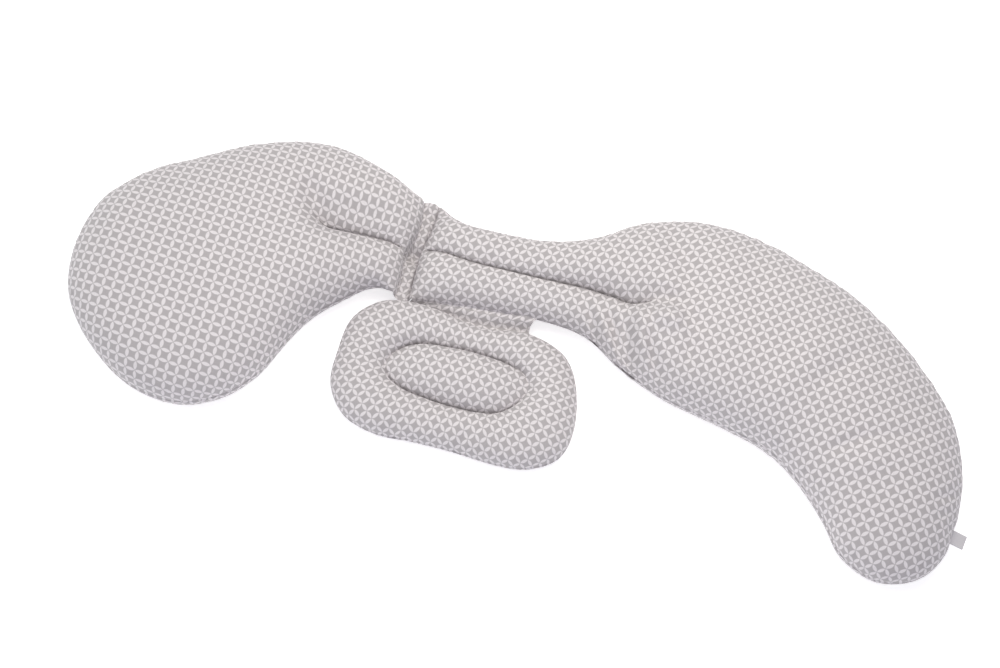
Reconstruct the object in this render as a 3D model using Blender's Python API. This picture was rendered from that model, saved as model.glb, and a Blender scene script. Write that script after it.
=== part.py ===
"""Contoured body pillow.

A head cushion, a long body cushion and a small belly pad, joined by two fabric hinges.

Metres, +Z up. The pillow lies on its back on a flat surface at z = 0. +X runs from the head to the
foot and -Y is the side of the belly. The origin is on the surface, under the middle of the pillow.
"""

import math
from collections import namedtuple

import bpy
import numpy as np
from mathutils.geometry import delaunay_2d_cdt

# A section across a cushion: where it meets the side seam on the far side (+Y) and on the near side.
Section = namedtuple("Section", "far_x far_y near_x near_y")

# A point of a sewn channel, with half the thickness that the stitches leave there.
Tuft = namedtuple("Tuft", "x y half")

# What a piece of cloth looks like.
Finish = namedtuple("Finish", "colour roughness")

# From the hinge to the crown of the head cushion.
HEAD_SECTIONS = (
    Section(-0.139, 0.280, -0.184, 0.111),
    Section(-0.211, 0.331, -0.212, 0.121),
    Section(-0.285, 0.367, -0.266, 0.097),
    Section(-0.394, 0.371, -0.325, 0.056),
    Section(-0.507, 0.343, -0.355, 0.019),
    Section(-0.604, 0.310, -0.394, -0.032),
    Section(-0.665, 0.263, -0.446, -0.068),
    Section(-0.698, 0.196, -0.514, -0.082),
    Section(-0.705, 0.105, -0.586, -0.059),
)
HEAD_TIP = (-0.656, 0.006)
# Each hinge edge passes through a point, the pinch at the end of the channel, and a point.
HEAD_HINGE_EDGE = ((-0.147, 0.228), (-0.170, 0.182), (-0.174, 0.148))
HEAD_CHANNEL = (
    Tuft(-0.170, 0.182, 0.0015),
    Tuft(-0.205, 0.199, 0.004),
    Tuft(-0.254, 0.211, 0.006),
    Tuft(-0.292, 0.217, 0.012),
    Tuft(-0.318, 0.224, 0.034),
)

# From the hinge to the foot of the body cushion.
BODY_SECTIONS = (
    Section(-0.111, 0.274, -0.160, 0.108),
    Section(-0.073, 0.240, -0.086, 0.096),
    Section(-0.013, 0.220, -0.012, 0.081),
    Section(0.085, 0.200, 0.055, 0.065),
    Section(0.149, 0.205, 0.124, 0.034),
    Section(0.214, 0.226, 0.174, -0.019),
    Section(0.313, 0.228, 0.240, -0.072),
    Section(0.393, 0.201, 0.331, -0.120),
    Section(0.484, 0.147, 0.412, -0.171),
    Section(0.559, 0.088, 0.457, -0.229),
    Section(0.652, -0.031, 0.484, -0.281),
    Section(0.696, -0.124, 0.503, -0.328),
    Section(0.701, -0.204, 0.525, -0.351),
    Section(0.688, -0.288, 0.553, -0.369),
)
FOOT_TIP = (0.619, -0.368)
BODY_HINGE_EDGE = ((-0.127, 0.223), (-0.143, 0.186), (-0.151, 0.150))
BODY_CHANNEL = (
    Tuft(-0.143, 0.186, 0.0015),
    Tuft(-0.084, 0.174, 0.003),
    Tuft(-0.021, 0.155, 0.003),
    Tuft(0.102, 0.124, 0.003),
    Tuft(0.190, 0.095, 0.005),
    Tuft(0.232, 0.085, 0.016),
    Tuft(0.270, 0.079, 0.042),
)

# From the left end to the right end of the belly pad.
PAD_SECTIONS = (
    Section(-0.274, 0.013, -0.263, -0.089),
    Section(-0.249, 0.075, -0.212, -0.122),
    Section(-0.204, 0.102, -0.150, -0.136),
    Section(-0.139, 0.097, -0.088, -0.153),
    Section(-0.044, 0.057, -0.015, -0.176),
    Section(0.044, 0.041, 0.025, -0.182),
    Section(0.093, 0.003, 0.074, -0.168),
)
PAD_LEFT_TIP = (-0.283, -0.040)
PAD_RIGHT_TIP = (0.109, -0.062)
PAD_CHANNEL = (
    Tuft(-0.150, 0.030, 0.003),
    Tuft(-0.064, 0.012, 0.003),
    Tuft(-0.004, -0.012, 0.004),
    Tuft(0.030, -0.050, 0.014),
    Tuft(0.012, -0.088, 0.006),
    Tuft(-0.060, -0.090, 0.003),
    Tuft(-0.150, -0.062, 0.004),
    Tuft(-0.188, -0.036, 0.008),
    Tuft(-0.190, 0.002, 0.014),
)

# Where the strip of cloth between the body cushion and the pad starts and ends along each seam.
PAD_HINGE_ON_BODY = ((-0.148, 0.105), (0.049, 0.068))
PAD_HINGE_ON_PAD = ((-0.150, 0.102), (0.034, 0.045))

# How the filling swells the panels.
CUSHION_FULLNESS = 0.95  # the height over the width of a tube that is twice ROUND_TUBE wide
PAD_FULLNESS = 0.80
ROUND_TUBE = 0.050
CROWN_POWER = 0.40  # 0.5 is a round tube, and less is a flatter top with fuller sides
CROWN_REACH = 0.075  # the distance from a seam over which the crown goes on rising
SETTLE_REACH = 0.150  # the distance over which a seam's height follows the filling beside it
FLOOR_EASE = 0.006  # how softly the underside rolls onto the surface

# Cloth and sewing.
SEAM_HALF = 0.0012  # half the thickness of two panels sewn edge to edge
PIECE_GAP = 0.0005  # between a hinge and the seam that holds it
HINGE_SAG = 0.004
HINGE_RIPPLE = 0.0015  # the height of its gathers
HINGE_GATHER = 0.026  # from one gather to the next
HINGE_ROWS = 4
PAD_HINGE_TUCK = 0.006  # how far the flap's ends are drawn in between its seams
LABEL_PLACE = (0.676, -0.297)
LABEL_WIDTH = 0.020
LABEL_LENGTH = 0.023
LABEL_PLY = 0.0010
LABEL_PLY_GAP = 0.0006
LABEL_DROOP = math.radians(12)
LABEL_BEND_STEPS = 6
PRINTED_JERSEY = Finish((0.56, 0.54, 0.55), 0.9)
SATIN_RIBBON = Finish((0.50, 0.48, 0.50), 0.6)
SHARP_ANGLE = math.radians(50)  # a sharper fold than this isn't shaded smooth

# How finely the panels are divided.
SEAM_STEP = 0.014
HINGE_STITCHES = 7  # points along each half of the head hinge's seams
ROWS = (0.0, 0.004, 0.011, 0.021)  # rows of points beside a seam, where the crown is steep
ROW_CLEARANCE = 0.75  # the least space round a point of a row, as a share of the row's distance
FIELD_STEP = 0.021
FIELD_CLEARANCE = 0.6  # the same for the field's points, as a share of their step
CURVE_SAMPLES = 24


def travelled(line):
    """How far along the polyline each of its points lies, seen from above."""
    return np.append(0.0, np.cumsum(np.linalg.norm(np.diff(line[:, :2], axis=0), axis=1)))


def evenly(line, count):
    """The given number of points at even steps along a polyline, with its two ends kept."""
    along = travelled(line)
    stops = np.linspace(0.0, along[-1], count)
    return np.stack([np.interp(stops, along, column) for column in line.T], axis=1)


def at_seam_steps(line):
    """Points along a polyline, one to each step of a seam."""
    return evenly(line, round(travelled(line)[-1] / SEAM_STEP) + 1)


def smooth_line(points, closed=False):
    """A smooth curve through the given points, as a fine polyline; a closed one repeats its first point."""
    knots = np.array(points, float)
    if closed:
        knots = np.vstack([knots, knots[:1]])
    chords = np.diff(knots, axis=0)
    spans = np.linalg.norm(chords[:, :2], axis=1)
    slopes = chords / spans[:, None]
    if closed:
        before, after = np.vstack([slopes[-1:], slopes]), np.vstack([slopes, slopes[:1]])
        behind, ahead = np.append(spans[-1], spans), np.append(spans, spans[0])
    else:
        before, after = np.vstack([slopes[:1], slopes]), np.vstack([slopes, slopes[-1:]])
        behind, ahead = np.append(spans[0], spans), np.append(spans, spans[-1])
    share = (behind / (behind + ahead))[:, None]
    tangents = (1 - share) * before + share * after
    t = np.linspace(0, 1, CURVE_SAMPLES, endpoint=False)[:, None]
    pieces = []
    for i, span in enumerate(spans):
        pieces.append(
            (1 + 2 * t) * (1 - t) ** 2 * knots[i]
            + t * (1 - t) ** 2 * span * tangents[i]
            + t**2 * (3 - 2 * t) * knots[i + 1]
            - t**2 * (1 - t) * span * tangents[i + 1]
        )
    return np.vstack([*pieces, knots[-1:]])


def section_ends(section):
    """A section's far point and its near one."""
    return (section.far_x, section.far_y), (section.near_x, section.near_y)


def side_points(sections, tip):
    """The near side of the sections, the tip, and the far side back again."""
    near = [(s.near_x, s.near_y) for s in sections]
    far = [(s.far_x, s.far_y) for s in reversed(sections)]
    return [*near, tip, *far]


def hinged_outline(sections, tip, hinge_edge):
    """The seam of a cushion whose first section is sewn to a hinge, counted from its near corner."""
    side = side_points(sections, tip)
    upper, pinch, lower = hinge_edge
    far_half = evenly(smooth_line([side[-1], upper, pinch]), HINGE_STITCHES)
    near_half = evenly(smooth_line([pinch, lower, side[0]]), HINGE_STITCHES)
    return np.vstack([at_seam_steps(smooth_line(side))[:-1], far_half[:-1], near_half[:-1]])


def round_outline(sections, left_tip, right_tip):
    """The seam of a cushion that is round at both ends."""
    side = side_points(sections, right_tip)
    return at_seam_steps(smooth_line([*side, left_tip], closed=True))[:-1]


def facing_left(outline):
    """The outline turned so that it runs anticlockwise."""
    x, y = outline.T
    area = np.sum(x * np.roll(y, -1) - np.roll(x, -1) * y)
    return outline if area > 0 else outline[::-1]


def beside(line, distance, closed):
    """The line moved sideways, to its left when the distance is positive."""
    if closed:
        along = np.roll(line, -1, axis=0) - np.roll(line, 1, axis=0)
    else:
        along = np.gradient(line, axis=0)
    along /= np.linalg.norm(along, axis=1)[:, None]
    return line + distance * np.stack([-along[:, 1], along[:, 0]], axis=1)


def within(points, outline):
    """Which points lie inside the outline."""
    x, y = points[:, :1], points[:, 1:]
    (ax, ay), (bx, by) = outline.T, np.roll(outline, -1, axis=0).T
    straddles = (ay > y) != (by > y)
    rise = np.where(by == ay, 1.0, by - ay)
    crossings = straddles & (x < ax + (y - ay) * (bx - ax) / rise)
    return crossings.sum(axis=1) % 2 == 1


def add_clear(points, extra, spacing):
    """The points with each extra one that keeps the spacing from all before it."""
    kept = list(points)
    for point in extra:
        if np.min(np.linalg.norm(np.array(kept) - point, axis=1)) >= spacing:
            kept.append(point)
    return np.array(kept)


def field_points(outline):
    """A triangular lattice of points over the outline's box."""
    low, high = outline.min(axis=0), outline.max(axis=0)
    rows = []
    for row, y in enumerate(np.arange(low[1], high[1], FIELD_STEP * math.sqrt(0.75))):
        x = np.arange(low[0] + (row % 2) * FIELD_STEP / 2, high[0], FIELD_STEP)
        rows.append(np.stack([x, np.full_like(x, y)], axis=1))
    return np.vstack(rows)


def cut_panel(outline, channel, closed_channel):
    """The flat panel's points and triangles. The outline's points come first and the channel's next."""
    rim, lines = len(outline), len(outline) + len(channel)
    points = np.vstack([outline, channel])
    for before, distance in zip(ROWS, ROWS[1:]):
        rows = [
            beside(outline, distance, True),
            beside(channel, distance, closed_channel),
            beside(channel, -distance, closed_channel),
        ]
        for row in rows:
            clearance = ROW_CLEARANCE * (distance - before)
            points = add_clear(points, row[within(row, outline)], clearance)
    field = field_points(outline)
    points = add_clear(points, field[within(field, outline)], FIELD_CLEARANCE * FIELD_STEP)
    ring = [(i, (i + 1) % rim) for i in range(rim)]
    stitches = [(i, i + 1) for i in range(rim, lines - 1)]
    if closed_channel:
        stitches.append((lines - 1, rim))
    else:
        start = int(np.argmin(np.linalg.norm(outline - channel[0], axis=1)))
        stitches.append((start, rim))
    found = delaunay_2d_cdt([tuple(p) for p in points], ring + stitches, [], 1, 1e-7)
    order = np.array([where[0] for where in found[3]])
    return points, order[np.array(found[2])]


def stiffness(points, triangles):
    """The panel's cotangent matrix, and the area that each point stands for."""
    matrix = np.zeros((len(points), len(points)))
    areas = np.zeros(len(points))
    for corner in range(3):
        a, b, c = (triangles[:, (corner + k) % 3] for k in range(3))
        to_a, to_b = points[a] - points[c], points[b] - points[c]
        double = to_a[:, 0] * to_b[:, 1] - to_a[:, 1] * to_b[:, 0]
        weight = np.einsum("ij,ij->i", to_a, to_b) / (2 * double)
        for i, j, sign in ((a, b, -1), (b, a, -1), (a, a, 1), (b, b, 1)):
            np.add.at(matrix, (i, j), sign * weight)
        np.add.at(areas, c, double / 6)
    return matrix, areas


def swell(points, triangles, tied, halves, fullness):
    """Half the cushion's thickness at each point, where the tied points keep the halves given.

    A power of the thickness answers to the pressure as a soap film's height does, and the cloth's
    own pull levels it where it is far from a seam.
    """
    matrix, areas = stiffness(points, triangles)
    matrix += np.diag(areas / CROWN_REACH**2)
    film = np.zeros(len(points))
    film[tied] = ROUND_TUBE**2 / 2 * (halves / (fullness * ROUND_TUBE)) ** (1 / CROWN_POWER)
    free = np.setdiff1d(np.arange(len(points)), tied)
    load = areas[free] - matrix[np.ix_(free, tied)] @ film[tied]
    film[free] = np.linalg.solve(matrix[np.ix_(free, free)], load)
    return fullness * ROUND_TUBE * (2 * film / ROUND_TUBE**2) ** CROWN_POWER


def settle(points, triangles, half):
    """The height of the middle between the panels, which follows the filling and lies low at the seams."""
    matrix, areas = stiffness(points, triangles)
    return np.linalg.solve(matrix * SETTLE_REACH**2 + np.diag(areas), areas * half)


def onto_floor(height):
    """The underside's height, rolled softly onto the surface."""
    eased = (height + FLOOR_EASE) ** 2 / (4 * FLOOR_EASE)
    return np.where(height > FLOOR_EASE, height, np.where(height < -FLOOR_EASE, 0.0, eased))


def cloth_material(name, finish):
    """A plain cloth of its own for one object."""
    material = bpy.data.materials.new(name)
    material.use_nodes = True
    shader = material.node_tree.nodes["Principled BSDF"]
    shader.inputs["Base Color"].default_value = (*finish.colour, 1.0)
    shader.inputs["Roughness"].default_value = finish.roughness
    shader.inputs["Metallic"].default_value = 0.0
    return material


def make_object(name, points, faces, finish):
    """A smooth-shaded object whose origin is the part's."""
    mesh = bpy.data.meshes.new(name)
    mesh.from_pydata([tuple(p) for p in points], [], faces)
    mesh.materials.append(cloth_material(name + "_cloth", finish))
    mesh.shade_smooth()
    mesh.set_sharp_from_angle(angle=SHARP_ANGLE)
    obj = bpy.data.objects.new(name, mesh)
    bpy.context.scene.collection.objects.link(obj)
    return obj


def make_cushion(name, outline, channel, closed_channel, fullness):
    """Builds a filled cushion as one solid and returns its seam line, in space."""
    outline = facing_left(outline)
    tufts = at_seam_steps(smooth_line(channel, closed_channel))
    if closed_channel:
        tufts = tufts[:-1]
    else:
        tufts = tufts[1:]  # its first point is on the seam
    points, triangles = cut_panel(outline, tufts[:, :2], closed_channel)
    tied = np.arange(len(outline) + len(tufts))
    halves = np.concatenate([np.full(len(outline), SEAM_HALF), tufts[:, 2]])
    half = swell(points, triangles, tied, halves, fullness)
    middle = settle(points, triangles, half)
    top = np.column_stack([points, middle + half])
    under = np.column_stack([points, onto_floor(middle - half)])
    count, rim = len(points), len(outline)
    faces = [tuple(t) for t in triangles]
    faces += [tuple(int(i) + count for i in reversed(t)) for t in triangles]
    faces += [(i, i + count, (i + 1) % rim + count, (i + 1) % rim) for i in range(rim)]
    make_object(name, np.vstack([top, under]), faces, PRINTED_JERSEY)
    return np.column_stack([outline, middle[:rim]])


def seam_between(seam, ends):
    """The stretch of a seam that runs between the points nearest the two ends."""
    first, last = (int(np.argmin(np.linalg.norm(seam[:, :2] - p, axis=1))) for p in ends)
    length = (last - first) % len(seam)
    if length > len(seam) / 2:
        return np.roll(seam, -last, axis=0)[: len(seam) - length + 1][::-1]
    return np.roll(seam, -first, axis=0)[: length + 1]


def make_hinge(name, first, second, tuck=0.0):
    """Builds the gathered strip of doubled cloth between two seams that run the same way."""
    count = max(len(first), len(second))
    if len(first) != len(second):
        first, second = evenly(first, count), evenly(second, count)
    across = second - first
    width = np.linalg.norm(across, axis=1)[:, None]
    gathers = np.sin(2 * math.pi * travelled(first) / HINGE_GATHER)
    inward = np.linspace(1.0, -1.0, count)[:, None] * (first[-1] - first[0])
    inward *= tuck / np.linalg.norm(first[-1] - first[0])
    rows = []
    for share in np.linspace(0.0, 1.0, HINGE_ROWS + 1):
        slack = math.sin(math.pi * share)
        row = first + (share + PIECE_GAP / width * (1 - 2 * share)) * across + slack * inward
        row[:, 2] += slack * (HINGE_RIPPLE * gathers - HINGE_SAG)
        rows.append(row)
    sheet = np.vstack(rows)
    lift = np.array([0.0, 0.0, SEAM_HALF])
    top = np.arange(len(sheet)).reshape(HINGE_ROWS + 1, count)
    under = top + len(sheet)
    faces = []
    for i in range(HINGE_ROWS):
        for j in range(count - 1):
            faces.append((top[i, j], top[i + 1, j], top[i + 1, j + 1], top[i, j + 1]))
            faces.append((under[i, j], under[i, j + 1], under[i + 1, j + 1], under[i + 1, j]))
    rim = [*top[0], *top[1:, -1], *top[-1, -2::-1], *top[-2:0:-1, 0]]
    for i, j in zip(rim, rim[1:] + rim[:1]):
        faces.append((i, j, j + len(sheet), i + len(sheet)))
    vertices = np.vstack([sheet + lift, sheet - lift])
    faces = [tuple(map(int, f)) for f in faces]
    face_outwards(make_object(name, vertices, faces, PRINTED_JERSEY))


def face_outwards(obj):
    """Turns the whole mesh round if its volume comes out negative."""
    mesh = obj.data
    volume = 0.0
    for polygon in mesh.polygons:
        corners = [mesh.vertices[i].co for i in polygon.vertices]
        for k in range(1, len(corners) - 1):
            volume += corners[0].dot(corners[k].cross(corners[k + 1]))
    if volume < 0:
        mesh.flip_normals()


def make_label(seam):
    """Builds the folded ribbon that is caught in the side seam, open towards the cushion."""
    ahead = np.roll(seam, -1, axis=0)
    middles = (seam + ahead) / 2
    nearest = int(np.argmin(np.linalg.norm(middles[:, :2] - LABEL_PLACE, axis=1)))
    root = middles[nearest]
    along = ahead[nearest] - seam[nearest]
    along[2] = 0.0
    along /= np.linalg.norm(along)
    level = np.array([along[1], -along[0], 0.0])
    outward = level * math.cos(LABEL_DROOP) - np.array([0.0, 0.0, math.sin(LABEL_DROOP)])
    upward = np.cross(outward, along)
    inner, outer = LABEL_PLY_GAP / 2, LABEL_PLY_GAP / 2 + LABEL_PLY
    bend = np.linspace(math.pi / 2, -math.pi / 2, LABEL_BEND_STEPS + 1)
    profile = [(PIECE_GAP, outer)]
    profile += [(LABEL_LENGTH + outer * math.cos(a), outer * math.sin(a)) for a in bend]
    profile += [(PIECE_GAP, -outer), (PIECE_GAP, -inner)]
    profile += [(LABEL_LENGTH + inner * math.cos(a), inner * math.sin(a)) for a in bend[::-1]]
    profile += [(PIECE_GAP, inner)]
    points, count = [], len(profile)
    for side in (-0.5, 0.5):
        for out, up in profile:
            points.append(root + side * LABEL_WIDTH * along + out * outward + up * upward)
    faces = [tuple(range(count)), tuple(range(2 * count - 1, count - 1, -1))]
    faces += [(i, i + count, (i + 1) % count + count, (i + 1) % count) for i in range(count)]
    face_outwards(make_object("side_label", points, faces, SATIN_RIBBON))


def main():
    for obj in list(bpy.data.objects):
        bpy.data.objects.remove(obj)
    head = make_cushion(
        "head_cushion",
        hinged_outline(HEAD_SECTIONS, HEAD_TIP, HEAD_HINGE_EDGE),
        HEAD_CHANNEL, False, CUSHION_FULLNESS,
    )
    body = make_cushion(
        "body_cushion",
        hinged_outline(BODY_SECTIONS, FOOT_TIP, BODY_HINGE_EDGE),
        BODY_CHANNEL, False, CUSHION_FULLNESS,
    )
    pad = make_cushion(
        "belly_pad",
        round_outline(PAD_SECTIONS, PAD_LEFT_TIP, PAD_RIGHT_TIP),
        PAD_CHANNEL, True, PAD_FULLNESS,
    )
    make_hinge(
        "head_hinge",
        seam_between(head, section_ends(HEAD_SECTIONS[0])),
        seam_between(body, section_ends(BODY_SECTIONS[0])),
    )
    make_hinge(
        "pad_hinge",
        seam_between(body, PAD_HINGE_ON_BODY),
        seam_between(pad, PAD_HINGE_ON_PAD),
        PAD_HINGE_TUCK,
    )
    make_label(body)


main()
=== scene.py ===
"""Contoured body pillow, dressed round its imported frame.

Metres, +Z up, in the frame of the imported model: +X runs from the head to the foot and -Y is the
side of the belly. Each cushion is cut flat as two panels, stuffed, relaxed as cloth and printed.
"""

import logging
import math
from dataclasses import dataclass, field
from enum import Enum

import bpy
import numpy as np
from mathutils import Matrix, Vector, kdtree, noise
from mathutils.geometry import delaunay_2d_cdt


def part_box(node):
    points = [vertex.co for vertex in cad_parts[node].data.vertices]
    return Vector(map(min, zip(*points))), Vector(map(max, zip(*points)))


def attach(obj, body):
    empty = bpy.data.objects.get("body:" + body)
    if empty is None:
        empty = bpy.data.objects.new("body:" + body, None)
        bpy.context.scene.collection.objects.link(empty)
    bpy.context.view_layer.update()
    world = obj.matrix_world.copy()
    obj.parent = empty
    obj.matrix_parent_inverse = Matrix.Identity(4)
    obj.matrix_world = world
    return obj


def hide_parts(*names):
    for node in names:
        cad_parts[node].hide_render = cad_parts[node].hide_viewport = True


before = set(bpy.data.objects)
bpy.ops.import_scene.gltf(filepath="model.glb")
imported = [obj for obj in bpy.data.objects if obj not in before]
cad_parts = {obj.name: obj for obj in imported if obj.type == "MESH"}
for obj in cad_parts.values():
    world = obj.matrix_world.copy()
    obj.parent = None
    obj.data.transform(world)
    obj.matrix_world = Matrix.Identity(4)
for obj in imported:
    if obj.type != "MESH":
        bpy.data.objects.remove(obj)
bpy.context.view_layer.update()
log = logging.getLogger("body_pillow")

SHARP_TURN = math.radians(35)
CORNER_INSET = 0.12  # how much of an inset is kept right at a sharp corner
CORNER_ROOM = 0.5  # how fast the room grows away from it
TINY = 1e-20
BALANCED = 1e-14  # the share of the first error at which a solution is good enough
UPRIGHT = 1e-9  # the area, seen from above, under which a triangle stands upright
KEYS_PER_METRE = 1e4
SAME_POINT = 1e-7
OVERTONE = (0.6, 0.47)  # the height and pitch of the finer of two waves
WAVE_ROWS = (0.2, 3.7)  # where in the noise the two waves are read
SEAM_SEED, PUCKER_SEED, HINGE_SEED, LUMP_SEED = 1.9, 5.3, 2.2, 0.37
UNEVEN_RECESS = 0.2  # how much the seam's depth varies along it
CLOTH_SETTINGS = {
    "quality": 6,
    "mass": 0.25,
    "tension_stiffness": 18.0,
    "compression_stiffness": 18.0,
    "shear_stiffness": 8.0,
    "bending_stiffness": 0.35,
    "use_pressure": True,
    "uniform_pressure_force": 3.0,
    "vertex_group_mass": "held",
    "pin_stiffness": 4.0,
}

Array = np.ndarray
Place = tuple[float, float]
Point = tuple[float, float, float]
Colour = tuple[float, float, float]
Piece = bpy.types.Object
Socket = bpy.types.NodeSocket
Tree = bpy.types.NodeTree


# --- lines on the cutting table ---


def lengths(rows: Array) -> Array:
    """The length of each row, taken as a vector."""
    return np.linalg.norm(rows, axis=1)


def travelled(line: Array) -> Array:
    """How far along the polyline each of its points lies, seen from above."""
    return np.append(0.0, np.cumsum(lengths(np.diff(line[:, :2], axis=0))))


def evenly(line: Array, count: int) -> Array:
    """Spreads points at even steps along a polyline.

    Args:
        line: the polyline's points.
        count: how many points to spread, with the two ends kept.

    Returns:
        The points, with the line's own columns.
    """
    along = travelled(line)
    stops = np.linspace(0.0, along[-1], count)
    return np.stack([np.interp(stops, along, column) for column in line.T], axis=1)


def at_steps(line: Array, step: float) -> Array:
    """Spreads points along a polyline at even steps, as near as can be to the given one."""
    return evenly(line, round(travelled(line)[-1] / step) + 1)


def smooth_line(knots: Array, closed: bool = False, samples: int = 12) -> Array:
    """Draws a smooth curve through knots, as a fine polyline.

    Args:
        knots: the points that the curve passes through.
        closed: whether it comes back to its first point, which is then repeated.
        samples: points to each span.

    Returns:
        The polyline.
    """
    if closed:
        knots = np.vstack([knots, knots[:1]])
    chords = np.diff(knots, axis=0)
    spans = lengths(chords[:, :2])
    slopes = chords / spans[:, None]
    ends = (slopes[-1:], slopes[:1]) if closed else (slopes[:1], slopes[-1:])
    outer = (spans[-1], spans[0]) if closed else (spans[0], spans[-1])
    before, after = np.vstack([ends[0], slopes]), np.vstack([slopes, ends[1]])
    behind, ahead = np.append(outer[0], spans), np.append(spans, outer[1])
    share = (behind / (behind + ahead))[:, None]
    tangents = (1 - share) * before + share * after
    t = np.linspace(0, 1, samples, endpoint=False)[:, None]
    pieces = []
    for i, span in enumerate(spans):
        pieces.append(
            (1 + 2 * t) * (1 - t) ** 2 * knots[i]
            + t * (1 - t) ** 2 * span * tangents[i]
            + t**2 * (3 - 2 * t) * knots[i + 1]
            - t**2 * (1 - t) * span * tangents[i + 1]
        )
    return np.vstack([*pieces, knots[-1:]])


def beside(line: Array, distance: float, closed: bool) -> Array:
    """Moves a line sideways, to its left when the distance is positive."""
    if closed:
        along = np.roll(line, -1, axis=0) - np.roll(line, 1, axis=0)
    else:
        along = np.gradient(line, axis=0)
    along /= lengths(along)[:, None]
    return line + distance * np.stack([-along[:, 1], along[:, 0]], axis=1)


def inward(outline: Array) -> Array:
    """The direction into a closed outline at each of its points."""
    return beside(outline, 1.0, True) - outline


def turns(outline: Array) -> Array:
    """How sharply a closed outline turns left at each of its points, in radians."""
    ahead = np.roll(outline, -1, axis=0) - outline
    behind = np.roll(ahead, 1, axis=0)
    return np.arctan2(np.cross(behind, ahead), np.einsum("ij,ij->i", behind, ahead))


def inset(outline: Array, distance: float) -> Array:
    """Moves a closed outline inwards, and less where a sharp corner leaves no room.

    Args:
        outline: the outline's points, anticlockwise.
        distance: how far it moves where there is room.

    Returns:
        As many points as the outline has.
    """
    turn = turns(outline)
    along = travelled(np.vstack([outline, outline[:1]]))
    room = np.full(len(outline), distance)
    for corner in np.flatnonzero(turn > SHARP_TURN):
        away = np.abs(along[:-1] - along[corner])
        away = np.minimum(away, along[-1] - away)
        slope = math.tan((math.pi - turn[corner]) / 2)
        room = np.minimum(room, CORNER_INSET * distance + CORNER_ROOM * away * slope)
    return outline + room[:, None] * inward(outline)


def within(points: Array, outline: Array) -> Array:
    """Says which points lie inside a closed outline."""
    x, y = points[:, :1], points[:, 1:]
    (ax, ay), (bx, by) = outline.T, np.roll(outline, -1, axis=0).T
    straddles = (ay > y) != (by > y)
    rise = np.where(by == ay, 1.0, by - ay)
    crossings = straddles & (x < ax + (y - ay) * (bx - ax) / rise)
    return crossings.sum(axis=1) % 2 == 1


def nearest(points: Array, line: Array) -> tuple[Array, Array]:
    """The number of the line's point nearest to each point from above, and its distance."""
    tree = kdtree.KDTree(len(line))
    for i, (x, y) in enumerate(line[:, :2]):
        tree.insert((x, y, 0.0), i)
    tree.balance()
    found = [tree.find((x, y, 0.0)) for x, y in points[:, :2]]
    return np.array([f[1] for f in found]), np.array([f[2] for f in found])


def waves(along: Array, pitch: float, seed: float) -> Array:
    """Uneven waves along a stitched line, from about -1 to 1."""
    (height, finer), (low, high) = OVERTONE, WAVE_ROWS
    broad = [noise.noise((s / pitch, seed, low)) for s in along]
    fine = [noise.noise((s / (finer * pitch), seed, high)) for s in along]
    return np.array(broad) + height * np.array(fine)


def keep_clear(points: Array, extra: Array, spacing: float) -> Array:
    """Adds those extra points that keep a spacing from all points so far and from each other.

    Args:
        points: the points so far.
        extra: the points on offer.
        spacing: the least distance between two points.

    Returns:
        The points so far with those that were kept.
    """
    if not len(extra):
        return points
    extra = extra[nearest(extra, points)[1] >= spacing]
    cells: dict[tuple[int, int], list[Array]] = {}
    kept = []
    for point in extra:
        column, row = (int(c) for c in np.floor(point / spacing))
        around = [(column + i, row + j) for i in (-1, 0, 1) for j in (-1, 0, 1)]
        near = [other for cell in around for other in cells.get(cell, ())]
        if all(math.dist(point, other) >= spacing for other in near):
            cells.setdefault((column, row), []).append(point)
            kept.append(point)
    return np.vstack([points, kept]) if kept else points


def cotangents(points: Array, triangles: Array) -> tuple[Array, Array, Array, Array]:
    """A triangle mesh's cotangent weights.

    Args:
        points: the mesh's points, flat or in space.
        triangles: the numbers of each triangle's points.

    Returns:
        Each weight's row, column and value, and the area that each point stands for.
    """
    rows, columns, values = [], [], []
    areas = np.zeros(len(points))
    for corner in range(3):
        a, b, c = (triangles[:, (corner + k) % 3] for k in range(3))
        to_a, to_b = points[a] - points[c], points[b] - points[c]
        product = np.einsum("ij,ij->i", to_a, to_b)
        squares = np.einsum("ij,ij->i", to_a, to_a) * np.einsum("ij,ij->i", to_b, to_b)
        double = np.sqrt(np.maximum(squares - product**2, TINY))
        rows += [a, b]
        columns += [b, a]
        values += [product / (2 * double)] * 2
        np.add.at(areas, c, double / 6)
    return np.concatenate(rows), np.concatenate(columns), np.concatenate(values), areas


def solve(weights: tuple, diagonal: Array, load: Array, start: Array, free: Array) -> Array:
    """Solves for the heights that balance a load, by conjugate gradients.

    Args:
        weights: each off-diagonal weight's row, column and value.
        diagonal: the weight of each point's own height.
        load: the load on each point.
        start: the first guess, which keeps its values at the points that aren't free.
        free: 1 for each free point and 0 for the others.

    Returns:
        The height of each point.
    """
    rows, columns, values = weights
    count = len(load)

    def pull(heights: Array) -> Array:
        """What each point's neighbours leave of its load."""
        return diagonal * heights - np.bincount(rows, values * heights[columns], count)

    heights = start.copy()
    left = free * (load - pull(heights))
    ready = left / diagonal
    heading, size = ready.copy(), left @ ready
    enough = BALANCED * max(size, TINY)
    while size > enough:
        drawn = free * pull(heading)
        stride = size / (heading @ drawn)
        heights += stride * heading
        left -= stride * drawn
        ready = left / diagonal
        size, before = left @ ready, size
        heading = ready + size / before * heading
    return heights


# --- the cushions ---


class Face(Enum):
    """The two panels of a cushion, with the sign of their side."""

    TOP = 1
    UNDER = -1


@dataclass(frozen=True)
class Tuft:
    """A point of a sewn channel, with half the thickness that is left where its sides meet.

    The pull is how tightly its stitch is drawn, from 0 for a loose one to 1.
    """

    x: float
    y: float
    half: float
    pull: float = 1.0


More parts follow.
